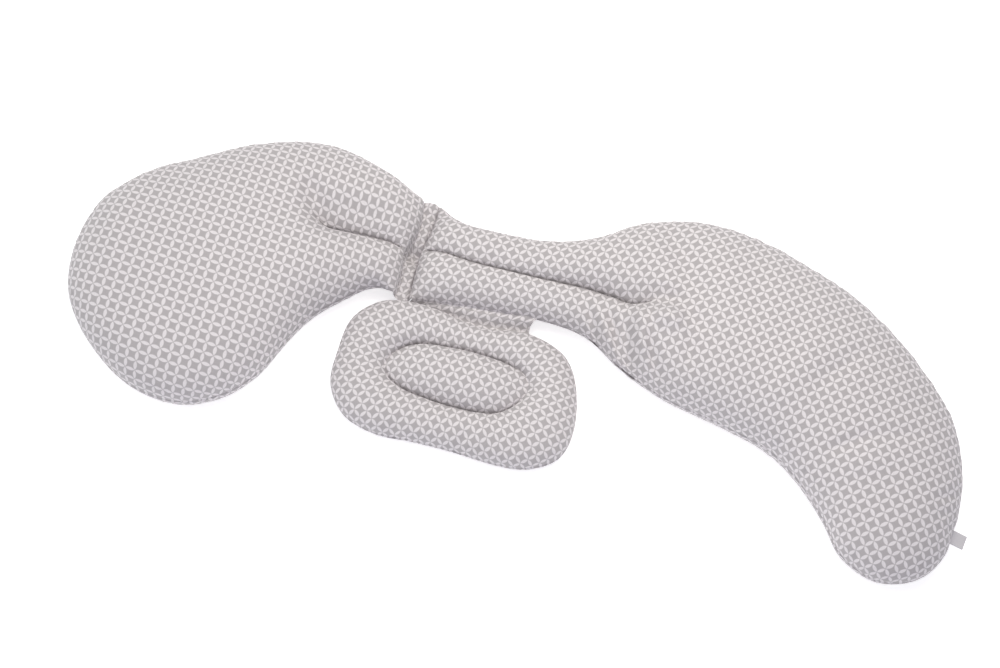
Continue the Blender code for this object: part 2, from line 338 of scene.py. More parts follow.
@dataclass(frozen=True)
class Weave:
    """How the printed cloth lies at one place along a cushion: its turn and how far it is drawn."""

    x: float
    turn: float
    along: float = 1.0
    across: float = 1.0
    skew: float = 0.0


@dataclass(frozen=True)
class Crease:
    """A soft fold pressed into the top from place to place, or a ridge if its depth is negative."""

    start: Place
    end: Place
    depth: float
    width: float


@dataclass(frozen=True)
class Spot:
    """A round place seen from above, with what is done there and how far it reaches."""

    x: float
    y: float
    amount: float
    reach: float

    def share(self, places: Array) -> Array:
        """How much of it is felt at each place, from 1 in the middle to 0 far away."""
        return np.exp(-((np.hypot(*(places[:, :2] - (self.x, self.y)).T) / self.reach) ** 2))


@dataclass(frozen=True)
class Stuffing:
    """How the filling swells two panels.

    The slit is how far a channel's stitches pull its sides together, past the crown's own dip, and
    never by more than slit_share of what is there.
    """

    fullness: float = 0.95
    round_tube: float = 0.050
    crown_power: float = 0.40
    crown_reach: float = 0.075
    settle_reach: float = 0.150
    floor_ease: float = 0.006
    lump_height: float = 0.0012
    lump_size: float = 0.055
    slit: float = 0.017
    slit_share: float = 0.85


@dataclass(frozen=True)
class Gathers:
    """The small puckers that a stitched line draws into the cloth beside it.

    The groove is how far the side seam is pulled in and the cut is how deep a channel's line lies.
    A pucker is worked out as far as felt times its reach.
    """

    height: float = 0.0010
    pitch: float = 0.013
    reach: float = 0.012
    groove: float = 0.0042
    channel_height: float = 0.0012
    cut: float = 0.009
    cut_width: float = 0.0010
    gain: float = 7.4
    felt: float = 2.5

    def fade(self, away: Array) -> Array:
        """How high the puckers stand beside their line: none on it, and none far from it."""
        share = away / self.reach
        return self.gain * share**2 * np.exp(-2 * share**2)


@dataclass
class Panel:
    """A cushion's flat panel, divided into small triangles.

    The seam's points come first, then as many of the first row inside it, then the channel's.
    """

    outline: Array
    channel: Array
    closed: bool
    step: float = 0.0072
    seam_rows: tuple[float, ...] = (0.0055, 0.0095, 0.0145, 0.0205)
    channel_rows: tuple[float, ...] = (0.0, 0.0016, 0.0042, 0.0080, 0.0130, 0.0190)
    row_spacing: float = 0.75
    lattice_spacing: float = 0.62
    points: Array = field(init=False)
    triangles: Array = field(init=False)

    def __post_init__(self) -> None:
        """Divides the panel."""
        inner = inset(self.outline, self.seam_rows[0])
        points = np.vstack([self.outline, inner, self.channel])
        for before, distance in zip(self.channel_rows, self.channel_rows[1:]):
            for side in (distance, -distance):
                row = beside(self.channel, side, self.closed)
                spacing = self.row_spacing * (distance - before)
                points = keep_clear(points, row[within(row, inner)], spacing)
        for before, distance in zip(self.seam_rows, self.seam_rows[1:]):
            row = beside(self.outline, distance, True)
            spacing = self.row_spacing * (distance - before)
            points = keep_clear(points, row[within(row, inner)], spacing)
        lattice = self.lattice()
        lattice = lattice[within(lattice, inner)]
        self.points = keep_clear(points, lattice, self.lattice_spacing * self.step)
        self.triangles = self.divide()

    def lattice(self) -> Array:
        """A triangular lattice of points over the outline's box."""
        low, high = self.outline.min(axis=0), self.outline.max(axis=0)
        rows = []
        for row, y in enumerate(np.arange(low[1], high[1], self.step * math.sqrt(0.75))):
            x = np.arange(low[0] + (row % 2) * self.step / 2, high[0], self.step)
            rows.append(np.stack([x, np.full_like(x, y)], axis=1))
        return np.vstack(rows)

    def divide(self) -> Array:
        """Joins the points inside the first row into triangles, and that row to the seam."""
        rim = len(self.outline)
        last = rim + len(self.channel) - 1
        ring = [(i, (i + 1) % rim) for i in range(rim)]
        stitches = [(i, i + 1) for i in range(rim, last)]
        stitches.append((last if self.closed else self.pinch(), rim))
        inside = [tuple(p) for p in self.points[rim:]]
        found = delaunay_2d_cdt(inside, ring + stitches, [], 1, SAME_POINT)
        order = np.array([where[0] for where in found[3]])
        triangles = [order[np.array(found[2])] + rim]
        here = np.arange(rim)
        ahead = (here + 1) % rim
        triangles.append(np.stack([here, ahead, ahead + rim], axis=1))
        triangles.append(np.stack([here, ahead + rim, here + rim], axis=1))
        return np.vstack(triangles)

    def pinch(self) -> int:
        """The number of the seam's point that is nearest to the channel's first."""
        return int(np.argmin(lengths(self.outline - self.channel[0])))

    def film(self, reach: float, source: Array, tied: Array, held: Array) -> Array:
        """Finds the height of a film that is drawn over the panel.

        Args:
            reach: how far from a tied point the film goes on rising.
            source: the pressure at each point.
            tied: the numbers of the points that are held.
            held: their heights.

        Returns:
            The film's height at each point.
        """
        rows, columns, values, areas = cotangents(self.points, self.triangles)
        count = len(self.points)
        diagonal = np.bincount(rows, values, count) + areas / reach**2
        start, free = np.zeros(count), np.ones(count)
        start[tied], free[tied] = held, 0.0
        return solve((rows, columns, values), diagonal, areas * source, start, free)


@dataclass
class Cushion:
    """A filled cushion: two printed panels sewn edge to edge, with a stitched channel.

    The seam is drawn outwards at the spots in drawn, where an amount of 0.5 leaves a round section
    and more a lens, and it is caught further in at the nips.
    """

    node: str
    tufts: tuple[Tuft, ...]
    closed: bool = False
    stuffing: Stuffing = Stuffing()
    gathers: Gathers = Gathers()
    creases: tuple[Crease, ...] = ()
    drawn: tuple[Spot, ...] = ()
    nips: tuple[Spot, ...] = ()
    weave: tuple[Weave, ...] = ()
    island_draw: float = 1.0
    fill: float = 0.7
    seam_step: float = 0.0045
    wall_rows: tuple[float, ...] = (0.000006, 0.00022, 0.0011, 0.0030)
    slack: float = 0.0035
    relax_frames: int = 20
    root_gap: float = 0.0075
    seam: Array = field(init=False)
    plan: Array = field(init=False)
    crown: Array = field(init=False)
    seam_print: Array = field(init=False)

    def seam_ring(self) -> Array:
        """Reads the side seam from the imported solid.

        Returns:
            The seam's points in order, anticlockwise from above.
        """
        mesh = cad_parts[self.node].data
        mesh.calc_loop_triangles()
        places = np.array([v.co for v in mesh.vertices])[:, :2]
        corners = np.array([t.vertices for t in mesh.loop_triangles])
        a, b, c = (places[corners[:, k]] for k in range(3))
        area = np.cross(b - a, c - a)
        keys = [tuple(key) for key in np.round(places * KEYS_PER_METRE).astype(int)]
        links: dict[tuple, set] = {}
        where: dict[tuple, Array] = {}
        for triangle in corners[np.abs(area) < UPRIGHT]:
            ends = {keys[i] for i in triangle}
            where.update({keys[i]: places[i] for i in triangle})
            for end in ends:
                links.setdefault(end, set()).update(ends - {end})
        ring = [min(links)]
        while True:
            ahead = [key for key in sorted(links[ring[-1]]) if key not in ring[-2:]]
            if len(ring) > 2 and ring[0] in links[ring[-1]]:
                break
            ring.append(ahead[0])
        outline = np.array([where[key] for key in ring])
        x, y = outline.T
        twice_area = np.sum(x * np.roll(y, -1) - np.roll(x, -1) * y)
        return outline if twice_area > 0 else outline[::-1]

    def fine_seam(self) -> Array:
        """The side seam at fine steps, still sharp at the corners that its hinge leaves."""
        ring = self.seam_ring()
        corners = list(np.flatnonzero(turns(ring) > SHARP_TURN))
        if not corners:
            return self.nipped(at_steps(smooth_line(ring, closed=True), self.seam_step)[:-1])
        stretches = []
        for start, stop in zip(corners, corners[1:] + [corners[0] + len(ring)]):
            line = smooth_line(ring[np.arange(start, stop + 1) % len(ring)])
            stretches.append(at_steps(line, self.seam_step)[:-1])
        return self.nipped(np.vstack(stretches))

    def nipped(self, outline: Array) -> Array:
        """Draws the seam in where it is nipped."""
        depth = np.zeros(len(outline))
        for nip in self.nips:
            depth += nip.amount * nip.share(outline)
        return outline + depth[:, None] * inward(outline)

    def stitched(self) -> Array:
        """The channel's stitches at fine steps, as x, y, half the thickness and pull."""
        knots = np.array([(t.x, t.y, t.half, t.pull) for t in self.tufts])
        fine = at_steps(smooth_line(knots, self.closed), self.seam_step)
        return fine[:-1] if self.closed else fine[travelled(fine) > self.root_gap]

    def stuff(self, panel: Panel, stitches: Array) -> tuple[Array, Array]:
        """Fills the cushion.

        Args:
            panel: its flat panel.
            stitches: the channel's stitches.

        Returns:
            Half the thickness and the middle height, at each of the panel's points.
        """
        fill, rim = self.stuffing, len(panel.outline)
        scale = fill.fullness * fill.round_tube
        halves = np.concatenate([np.zeros(rim), stitches[:, 2]])
        tied = np.concatenate([np.arange(rim), 2 * rim + np.arange(len(stitches))])
        if not self.closed:
            tied = np.append(tied, rim + panel.pinch())
            halves = np.append(halves, stitches[0, 2])
        power = self.power_at(panel.points)
        held = fill.round_tube**2 / 2 * (halves / scale) ** (1 / power[tied])
        crown = panel.film(fill.crown_reach, np.ones(len(panel.points)), tied, held)
        half = self.thickness(crown, power)
        none = np.array([], int)
        middle = panel.film(fill.settle_reach, half / fill.settle_reach**2, none, np.array([]))
        channel = 2 * rim + np.arange(len(stitches))
        half[channel] -= np.minimum(fill.slit * stitches[:, 3], fill.slit_share * half[channel])
        self.crown = crown
        return half, middle

    def thickness(self, crown: Array, power: Array) -> Array:
        """Half the thickness that answers to a film's height."""
        fill = self.stuffing
        share = np.maximum(2 * crown / fill.round_tube**2, 0.0)
        return fill.fullness * fill.round_tube * share**power

    def power_at(self, places: Array) -> Array:
        """How boxy, round or lens-like the section is at each place."""
        base = self.stuffing.crown_power
        shares, sums = np.zeros(len(places)), np.zeros(len(places))
        for spot in self.drawn:
            share = spot.share(places)
            shares += share
            sums += share * (spot.amount - base)
        return base + sums / np.maximum(shares, 1.0)

    def rest(self, height: Array) -> Array:
        """Rolls the underside softly onto the surface."""
        ease = self.stuffing.floor_ease
        eased = (height + ease) ** 2 / (4 * ease)
        return np.where(height > ease, height, np.where(height < -ease, 0.0, eased))

    def lumps(self, points: Array) -> Array:
        """The uneven pressure of the fibre filling, from -1 to 1."""
        size = self.stuffing.lump_size
        return np.array([noise.noise((x / size, y / size, LUMP_SEED)) for x, y in points])

    def pressed(self, points: Array) -> Array:
        """How deep the creases press into the panel at each point."""
        depth = np.zeros(len(points))
        for crease in self.creases:
            start, end = np.array(crease.start), np.array(crease.end)
            along = (points - start) @ (end - start) / ((end - start) @ (end - start))
            foot = start + np.clip(along, 0, 1)[:, None] * (end - start)
            away = lengths(points - foot)
            fade = np.sin(math.pi * np.clip(along, 0.02, 0.98)) ** 0.5
            depth += crease.depth * fade * np.exp(-((away / crease.width) ** 2))
        return depth

    def sew(self) -> Piece:
        """Sews the two panels together round the filling.

        A panel follows the seam, the channel and the filling at once, so its mesh is drawn in code
        and not from a primitive.

        Returns:
            The cushion: first its seam's points, then the top's and then the underside's.
        """
        outline, stitches = self.fine_seam(), self.stitched()
        panel = Panel(outline, stitches[:, :2], self.closed)
        half, middle = self.stuff(panel, stitches)
        rim, walls, first = len(outline), len(self.wall_rows), panel.seam_rows[0]

        def between(values: Array, share: float) -> Array:
            """Values part of the way from the seam to the first row inside it."""
            return values[:rim] * (1 - share) + values[rim : 2 * rim] * share

        plans, halves, middles = [], [], []
        for distance in self.wall_rows:
            share = distance / first
            bend = share * (1 + first / (2 * self.stuffing.crown_reach) * (1 - share))
            plans.append(between(panel.points, share))
            halves.append(self.thickness(between(self.crown, bend), self.power_at(plans[-1])))
            middles.append(between(middle, share))
        plan = np.vstack([*plans, panel.points[rim:]])
        seam = np.column_stack([outline, middle[:rim]])
        half = np.concatenate([*halves, half[rim:]])
        middle = np.concatenate([*middles, middle[rim:]])
        soft = half / half.max()
        top = middle + half + self.stuffing.lump_height * self.lumps(plan) * soft
        under = self.rest(middle - half)
        vertices = np.vstack([seam, np.column_stack([plan, top]), np.column_stack([plan, under])])
        count, here = len(plan), np.arange(rim)
        ahead = (here + 1) % rim
        inside = panel.triangles[(panel.triangles >= rim).all(axis=1)]
        faces = []
        for face in Face:
            base = rim if face is Face.TOP else rim + count
            rings = [here] + [base + k * rim + here for k in range(walls + 1)]
            for outer, closer in zip(rings, rings[1:]):
                quads = np.stack([outer[here], outer[ahead], closer[ahead], closer[here]], axis=1)
                faces += [tuple(map(int, q[:: face.value])) for q in quads]
            moved = inside - rim + base + walls * rim
            faces += [tuple(map(int, t[:: face.value])) for t in moved]
        mesh = bpy.data.meshes.new(self.node)
        mesh.from_pydata([tuple(map(float, v)) for v in vertices], [], faces)
        cushion = bpy.data.objects.new(f"{self.node}_cloth", mesh)
        bpy.context.scene.collection.objects.link(cushion)
        self.seam, self.plan = seam, plan
        channel = (walls + 2) * rim + np.arange(len(stitches))
        rests = rim + count + np.flatnonzero(under < self.stuffing.floor_ease / 4)
        held = np.concatenate([here, channel, channel + count, rests]).tolist()
        cushion.vertex_groups.new(name="held").add(held, 1.0, "REPLACE")
        return cushion

    def relax(self, cushion: Piece) -> None:
        """Lets the sewn cloth find its own tension round the filling, within its slack."""
        before = vertices_of(cushion)
        cloth = cushion.modifiers.new("cloth", "CLOTH")
        for name, value in CLOTH_SETTINGS.items():
            setattr(cloth.settings, name, value)
        cloth.settings.effector_weights.gravity = 0.0
        cloth.collision_settings.use_collision = False
        cloth.collision_settings.use_self_collision = False
        scene = bpy.context.scene
        for step in range(self.relax_frames):
            scene.frame_set(step + 1)
        select_only(cushion)
        bpy.ops.object.modifier_apply(modifier=cloth.name)
        scene.frame_set(1)
        move = vertices_of(cushion) - before
        length = lengths(move)[:, None]
        move *= np.minimum(1.0, self.slack / np.maximum(length, TINY))
        after = before + move
        after[:, 2] = np.maximum(after[:, 2], 0.0)
        place_vertices(cushion, after)
        log.info("%s relaxed by up to %.1f mm", self.node, 1000 * float(length.max()))

    def recess(self, cushion: Piece) -> None:
        """Pulls the side seam in between its two panels, unevenly, as its stitches do."""
        places, rim = vertices_of(cushion), len(self.seam)
        wave = waves(travelled(self.seam), self.gathers.pitch, SEAM_SEED)
        depth = self.gathers.groove * (1 + UNEVEN_RECESS * wave)
        places[:rim, :2] += depth[:, None] * inward(self.seam[:, :2])
        place_vertices(cushion, places)

    def gather(self, cushion: Piece) -> None:
        """Presses the creases, and draws small puckers into the cloth beside its stitched lines."""
        places, folds = vertices_of(cushion), self.gathers
        normals = np.empty(3 * len(places))
        cushion.data.vertex_normals.foreach_get("vector", normals)
        normals = normals.reshape(-1, 3)
        for line, height in ((self.seam, folds.height), (self.stitched(), folds.channel_height)):
            along = travelled(line)
            number, away = nearest(places, line)
            close = np.flatnonzero(away < folds.felt * folds.reach)
            number, away = number[close], away[close]
            wave = waves(along[number], folds.pitch, PUCKER_SEED + len(self.tufts))
            places[close] += (height * folds.fade(away) * wave)[:, None] * normals[close]
            if line is not self.seam:
                cut = folds.cut * line[number, 3] * np.exp(-((away / folds.cut_width) ** 2))
                places[close, 2] -= cut * np.clip(3 * normals[close, 2], -1.0, 1.0)
        places[:, 2] -= self.pressed(places[:, :2]) * np.clip(2 * normals[:, 2], 0.0, 1.0)
        place_vertices(cushion, places)

    def lay_print(self, cushion: Piece) -> None:
        """Lays each panel flat on the printed cloth, in metres along the cloth's grain.

        The unwrap operator bends the print along a curved panel where the real cloth stays straight
        and gathers at its seam, so the panel is laid flat by its triangles' own shapes instead.
        """
        mesh = cushion.data
        places, rim = vertices_of(cushion), len(self.seam)
        mesh.calc_loop_triangles()
        corners = np.array([t.vertices for t in mesh.loop_triangles])
        under = corners.max(axis=1) >= rim + len(self.plan)
        laid = {}
        for face in Face:
            mine = corners[under == (face is Face.UNDER)]
            numbers, triangles = np.unique(mine, return_inverse=True)
            panel = places[numbers] * (1, 1, face.value)
            laid[face] = np.zeros((len(places), 2))
            laid[face][numbers] = self.flatten(panel, triangles.reshape(-1, 3)) * (1, face.value)
        self.seam_print = laid[Face.TOP][:rim]
        layer = mesh.uv_layers.new(name="print").data
        for polygon in mesh.polygons:
            side = Face.UNDER if max(polygon.vertices) >= rim + len(self.plan) else Face.TOP
            for loop in polygon.loop_indices:
                layer[loop].uv = laid[side][mesh.loops[loop].vertex_index]

    def flatten(self, points: Array, triangles: Array) -> Array:
        """Lays a panel's points flat, with every triangle as near as can be to its own shape.

        Args:
            points: the panel's points, seen from its printed side.
            triangles: the numbers of each triangle's points.

        Returns:
            The points on the cloth.
        """
        a, b, c = (points[triangles[:, k]] for k in range(3))
        normals = np.cross(b - a, c - a)
        normals *= np.sign(np.cross((b - a)[:, :2], (c - a)[:, :2]).sum())
        normals /= lengths(normals)[:, None]
        east, north, up = normals.T
        lean = 1 / (1 + np.maximum(up, -0.9))
        turn, along, across, skew = self.weave_at((a + b + c)[:, :2] / 3)
        flat = []
        for corner in (a, b, c):
            x, y, z = (corner - a).T
            level_x = x * (1 - east**2 * lean) - y * east * north * lean - z * east
            level_y = y * (1 - north**2 * lean) - x * east * north * lean - z * north
            u = level_x * np.cos(turn) + level_y * np.sin(turn)
            v = level_y * np.cos(turn) - level_x * np.sin(turn)
            flat.append(np.stack([along * u + skew * v, skew * u + across * v], axis=1))
        rows, columns, values, _ = cotangents(points, triangles)
        count, each = len(points), len(triangles)
        load = np.zeros((count, 2))
        for corner in range(3):
            first, second = triangles[:, corner], triangles[:, (corner + 1) % 3]
            pull = values[2 * corner * each : (2 * corner + 1) * each, None]
            step = pull * (flat[corner] - flat[(corner + 1) % 3])
            np.add.at(load, first, step)
            np.add.at(load, second, -step)
        weights, diagonal = (rows, columns, values), np.bincount(rows, values, count)
        free = np.ones(count)
        cloth = [solve(weights, diagonal, load[:, k], points[:, k], free) for k in (0, 1)]
        return np.stack(cloth, axis=1)

    def weave_at(self, places: Array) -> tuple[Array, Array, Array, Array]:
        """The cloth's turn in radians, its draw along and across, and its skew, at each place."""
        stops = [w.x for w in self.weave]
        turn, along, across, skew = (
            np.interp(places[:, 0], stops, [getattr(w, name) for w in self.weave])
            for name in ("turn", "along", "across", "skew")
        )
        if self.closed:
            island = within(places, np.array([(t.x, t.y) for t in self.tufts]))
            draw = np.where(island, self.island_draw, 1.0)
            along, across, skew = along * draw, across * draw, skew * draw
        return np.radians(turn), along, across, skew

    def build(self) -> Piece:
        """Builds the whole cushion.

        Returns:
            The cushion.
        """
        cushion = self.sew()
        self.relax(cushion)
        self.recess(cushion)
        self.lay_print(cushion)
        round_off(cushion)
        self.gather(cushion)
        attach(cushion, "root")
        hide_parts(self.node)
        return cushion


# --- small tools for Blender ---


def vertices_of(piece: Piece) -> Array:
    """The piece's vertices as rows of x, y and z."""
    places = np.empty(3 * len(piece.data.vertices))
    piece.data.vertices.foreach_get("co", places)
    return places.reshape(-1, 3)


def place_vertices(piece: Piece, places: Array) -> None:
    """Moves the piece's vertices to new places."""
    piece.data.vertices.foreach_set("co", places.ravel())
    piece.data.update()


def select_only(piece: Piece) -> None:
    """Makes a piece the one that operators act on."""
    bpy.ops.object.select_all(action="DESELECT")
    piece.select_set(True)
    bpy.context.view_layer.objects.active = piece


def round_off(piece: Piece) -> None:
    """Subdivides a piece once and shades it smooth."""
    select_only(piece)
    rounding = piece.modifiers.new("rounding", "SUBSURF")
    rounding.levels = rounding.render_levels = 1
    rounding.use_limit_surface = False
    bpy.ops.object.modifier_apply(modifier=rounding.name)
    bpy.ops.object.shade_smooth()


def new_grid(name: str, columns: int, rows: int) -> tuple[Piece, Array]:
    """Makes a grid of vertices.

    Args:
        name: the name of the piece and its mesh.
        columns: vertices in a row.
        rows: rows of vertices.

    Returns:
        The grid, and its vertices from -1 to 1 in x and y.
    """
    bpy.ops.object.select_all(action="DESELECT")
    bpy.ops.mesh.primitive_grid_add(x_subdivisions=columns - 1, y_subdivisions=rows - 1, size=2)
    made = bpy.context.object
    made.name = name
    made.data.name = name
    return made, vertices_of(made)


def lay_on_cloth(piece: Piece, spread: Array) -> None:
    """Gives each of the piece's vertices its place on the flat cloth, in metres."""
    layer = piece.data.uv_layers.active or piece.data.uv_layers.new(name="print")
    layer.name = "print"
    for loop, corner in zip(piece.data.loops, layer.data):
        corner.uv = spread[loop.vertex_index]


def thicken(piece: Piece, thickness: float) -> None:
    """Gives a sheet its thickness, half to each side, and rounds it off."""
    select_only(piece)
    wall = piece.modifiers.new("plies", "SOLIDIFY")
    wall.thickness = thickness
    wall.offset = 0.0
    bpy.ops.object.modifier_apply(modifier=wall.name)
    round_off(piece)


def seam_between(seam: Array, start: Place, stop: Place) -> Array:
    """The stretch of a closed seam between the points nearest to two places."""
    first, last = (int(np.argmin(lengths(seam[:, :2] - end))) for end in (start, stop))
    length = (last - first) % len(seam)
    if length > len(seam) / 2:
        return np.roll(seam, -last, axis=0)[: len(seam) - length + 1][::-1]
    return np.roll(seam, -first, axis=0)[: length + 1]


# --- hinges and label ---


@dataclass
class Hinge:
    """A gathered strip of doubled cloth between the seams of two cushions."""

    node: str
    first_ends: tuple[Place, Place]
    second_ends: tuple[Place, Place]
    print_from_first: bool
    first_depth: float
    second_depth: float
    gather_height: float
    gather_pitch: float
    tucks: tuple[float, float]
    step: float
    lift: float = 0.0
    drop: float = 0.0
    dips: tuple[Spot, ...] = ()
    dip_edge: float = 0.004
    seam_width: float = 0.0022
    seam_fade: float = 0.0
    overlap: float = 0.0025
    gather_reach: float = 0.012
    end_fade: float = 0.015
    thickness: float = 0.0020

    def build(self, first: Cushion, second: Cushion) -> Piece:
        """Builds the strip.

        Args:
            first: the first cushion.
            second: the second cushion.

        Returns:
            The strip.
        """
        edges = []
        for cushion, ends in ((first, self.first_ends), (second, self.second_ends)):
            seam = np.column_stack([cushion.seam, cushion.seam_print])
            edges.append(seam_between(seam, *ends))
        length = max(travelled(edge)[-1] for edge in edges)
        columns = round(length / self.step) + 1
        lines = [evenly(smooth_line(edge), columns) for edge in edges]
        near, far = (line[:, :3] for line in lines)
        width = lengths(far - near)
        rows = max(5, round(float(width.mean()) / self.step)) + 1
        strip, grid = new_grid(f"{self.node}_cloth", columns, rows)
        u, v = (grid[:, 0] + 1) / 2, (grid[:, 1] + 1) / 2
        column = np.rint(u * (columns - 1)).astype(int)
        places = self.hang(near, far, column, u, v, length)
        place_vertices(strip, places)
        order = np.lexsort((u, v))
        steps = np.linalg.norm(np.diff(places[order].reshape(rows, columns, 3), axis=0), axis=2)
        reach = np.vstack([np.zeros(columns), np.cumsum(steps, axis=0)])
        across = np.empty(len(places))
        across[order] = reach.ravel()
        lay_on_cloth(strip, self.spread(lines, column, across, reach[-1][column]))
        thicken(strip, self.thickness)
        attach(strip, "root")
        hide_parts(self.node)
        return strip

    def hang(
        self, near: Array, far: Array, column: Array, u: Array, v: Array, length: float
    ) -> Array:
        """Hangs the strip between its edges and gathers it at its seams.

        Args:
            near: the first edge.
            far: the second edge.
            column: each point's place along the edges.
            u: how far each point lies along the strip, from 0 to 1.
            v: how far it lies from the first edge to the second, from 0 to 1.
            length: the strip's length.

        Returns:
            The strip's points.
        """
        width = lengths(far - near)
        places = near[column] + v[:, None] * (far - near)[column]
        ahead = (near[-1] - near[0]) / np.linalg.norm(near[-1] - near[0])
        tuck = self.tucks[0] * (1 - u) - self.tucks[1] * u
        places += (np.sin(math.pi * v) * tuck)[:, None] * ahead
        edge = np.minimum(v, 1 - v) * width[column]
        places[:, 2] += self.lift * np.sin(math.pi * v**0.6) - self.drop * np.sin(math.pi * v**2)
        depth = np.where(v < 0.5, self.first_depth, self.second_depth) * (1 - self.seam_fade * u)
        share = edge / self.seam_width
        places[:, 2] -= depth * share * np.exp(1 - share)
        outward = ((far - near) / width[:, None])[column] * np.where(v < 0.5, -1.0, 1.0)[:, None]
        places += (self.overlap * np.exp(-share))[:, None] * outward
        ends = np.clip(length * np.minimum(u, 1 - u) / self.end_fade, 0.1, 1.0)
        ripple = waves(u * length, self.gather_pitch, HINGE_SEED)
        places[:, 2] += self.gather_height * ends * np.exp(-edge / self.gather_reach) * ripple
        for dip in self.dips:
            places[:, 2] -= dip.amount * dip.share(places) * np.minimum(1.0, edge / self.dip_edge)
        return places

    def spread(self, lines: list[Array], column: Array, across: Array, width: Array) -> Array:
        """Carries a cushion's print on over the strip.

        Args:
            lines: the two edges, with the print's place in their last columns.
            column: each point's place along the edges.
            across: how far each point lies from the first edge.
            width: the strip's width at each point.

        Returns:
            The print's place at each point.
        """
        line = lines[0] if self.print_from_first else lines[1]
        along, drawn = line[-1, :2] - line[0, :2], line[-1, 3:] - line[0, 3:]
        drawn = drawn / np.linalg.norm(along)
        over = (lines[1] - lines[0])[:, :2].mean(axis=0)
        side = math.copysign(1.0, along[0] * over[1] - along[1] * over[0])
        sideways = side * np.array([-drawn[1], drawn[0]])
        if self.print_from_first:
            distance = across - self.overlap
        else:
            distance = across - width + self.overlap
        return line[column, 3:] + distance[:, None] * sideways


@dataclass
class SideLabel:
    """The plain ribbon that is folded in a loop and caught in the side seam."""

    node: str = "side_label"
    width: float = 0.022
    length: float = 0.0235
    yaw: float = math.radians(-6)
    rise: float = 0.0045
    ply: float = 0.0009
    opening: float = 0.0007
    droop: float = math.radians(12)
    curl: float = 0.0006
    caught: float = 0.001
    columns: int = 13
    rows: int = 49

    def build(self, seam: Array) -> Piece:
        """Builds the label where its solid is.

        Args:
            seam: the side seam that holds it.

        Returns:
            The ribbon.
        """
        low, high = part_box(self.node)
        centre = np.array((low + high) / 2) + (0.0, self.rise, 0.0)
        middles = (seam + np.roll(seam, -1, axis=0)) / 2
        stitch = int(np.argmin(lengths(middles[:, :2] - centre[:2])))
        root = middles[stitch]
        along = np.roll(seam, -2, axis=0)[stitch] - np.roll(seam, 1, axis=0)[stitch]
        along[2] = 0.0
        along /= np.linalg.norm(along)
        along = np.array(Matrix.Rotation(self.yaw, 3, "Z") @ Vector(along))
        level = np.array([along[1], -along[0], 0.0])
        outward = level * math.cos(self.droop) - np.array([0.0, 0.0, math.sin(self.droop)])
        upward = np.cross(outward, along)
        ribbon, grid = new_grid(f"{self.node}_ribbon", self.columns, self.rows)
        radius = (self.opening + self.ply) / 2
        total = 2 * self.length + math.pi * radius
        s = (grid[:, 1] + 1) / 2 * total
        bend = np.clip((s - self.length) / radius, 0.0, math.pi)
        back = np.where(s > total - self.length, total - s, self.length + radius * np.sin(bend))
        out = np.where(s < self.length, s, back)
        side = grid[:, 0] * self.width / 2
        up = radius * np.cos(bend) + self.curl * (grid[:, 0] ** 2) * (out / self.length)
        places = root + side[:, None] * along + (out - self.caught)[:, None] * outward
        place_vertices(ribbon, places + up[:, None] * upward)
        lay_on_cloth(ribbon, np.column_stack([side, s]))
        thicken(ribbon, self.ply)
        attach(ribbon, "root")
        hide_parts(self.node)
        return ribbon


# --- finishes ---


class Group:
    """Builds a node tree with short calls."""

    def __init__(self, tree: Tree) -> None:
        """Starts with a tree to fill."""
        self.tree = tree

    def feed(self, node: bpy.types.Node, inputs: dict[str | int, object]) -> None:
        """Links each of a node's inputs to a socket, or sets its value."""
        for name, value in inputs.items():
            if isinstance(value, Socket):
                self.tree.links.new(value, node.inputs[name])
            else:
                node.inputs[name].default_value = value

    def node(self, kind: str, inputs: dict | None = None, **settings: object) -> bpy.types.Node:
        """Adds a node, sets its properties and feeds its inputs."""
        made = self.tree.nodes.new(kind)
        for name, value in settings.items():
            setattr(made, name, value)
        self.feed(made, inputs or {})
        return made

    def math(self, operation: str, *values: object) -> Socket:
        """Adds a Math node and returns its result."""
        made = self.node("ShaderNodeMath", dict(enumerate(values)), operation=operation)
        return made.outputs[0]

    def scale(self, vector: object, factor: object) -> Socket:
        """Scales a vector or a colour and returns the result."""
        inputs = {0: vector, "Scale": factor}
        return self.node("ShaderNodeVectorMath", inputs, operation="SCALE").outputs[0]


def new_group(name: str, inputs: dict[str, object], outputs: tuple[str, ...]) -> tuple:
    """Starts a shader node group with named sockets.

    Args:
        name: the group's name.
        inputs: each input's default value; a tuple makes a vector.
        outputs: the names of its results.

    Returns:
        The tree, its builder, its input sockets by name and its output node.
    """
    tree = bpy.data.node_groups.new(name, "ShaderNodeTree")
    for label, value in inputs.items():
        kind = "NodeSocketVector" if isinstance(value, tuple) else "NodeSocketFloat"
        socket = tree.interface.new_socket(label, in_out="INPUT", socket_type=kind)
        socket.default_value = value
    for label in outputs:
        tree.interface.new_socket(label, in_out="OUTPUT", socket_type="NodeSocketFloat")
    build = Group(tree)
    given = build.node("NodeGroupInput").outputs
    return tree, build, given, build.node("NodeGroupOutput")


